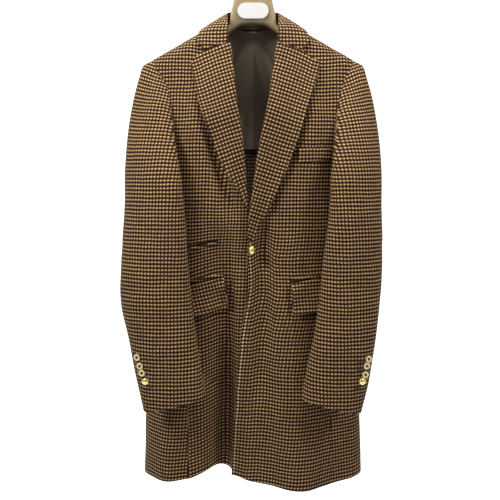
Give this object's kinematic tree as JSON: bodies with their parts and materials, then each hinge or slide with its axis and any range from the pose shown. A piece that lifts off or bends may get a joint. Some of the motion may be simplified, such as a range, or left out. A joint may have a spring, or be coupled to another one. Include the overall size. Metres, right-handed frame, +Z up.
{
  "type": "wool jersey coat on its hanger",
  "caption": "Single-breasted three-quarter wool jersey coat with notched lapels and flap pockets, hanging open at the neck from a broad suit hanger.",
  "frame": {"origin": "inside top of the hanger hook's bend, where a rail carries it", "axes": "+Z up, the coat's front faces -Y, +X is the wearer's left"},
  "size_m": [0.5263, 0.2388, 1.1028],
  "materials": {
    "jersey": "dark brown wool jersey with an aligned grid of small pale tan dots",
    "lining": "dark grey-brown twill lining with a soft sheen",
    "hanger_plastic": "satin khaki-grey moulded plastic",
    "plate": "bare white plate",
    "hook_steel": "bright plated wire",
    "gold_button": "brushed gold metal dome",
    "ring_button": "pale grey-khaki metal ring"
  },
  "bodies": {
    "root": {"front_left": "jersey", "front_right": "jersey", "back_left": "jersey", "back_right": "jersey", "side_left": "jersey", "side_right": "jersey", "upper_sleeve_left": "jersey", "upper_sleeve_right": "jersey", "under_sleeve_left": "jersey", "under_sleeve_right": "jersey", "lapel_left": "jersey", "lapel_right": "jersey", "collar_fall": "jersey", "collar_stand": "jersey", "back_lining": "lining", "flap_left": "jersey", "flap_right": "jersey", "jet_left": "jersey", "jet_right": "jersey", "ticket_jet": "jersey", "breast_welt": "jersey", "front_button": "gold_button", "sleeve_button_left_1": "ring_button", "sleeve_button_left_2": "ring_button", "sleeve_button_left_3": "ring_button", "sleeve_button_left_4": "gold_button", "sleeve_button_right_1": "ring_button", "sleeve_button_right_2": "ring_button", "sleeve_button_right_3": "ring_button", "sleeve_button_right_4": "gold_button", "hanger_body": "hanger_plastic", "hanger_hook": "hook_steel", "hanger_plate": "plate"}
  },
  "joints": []
}
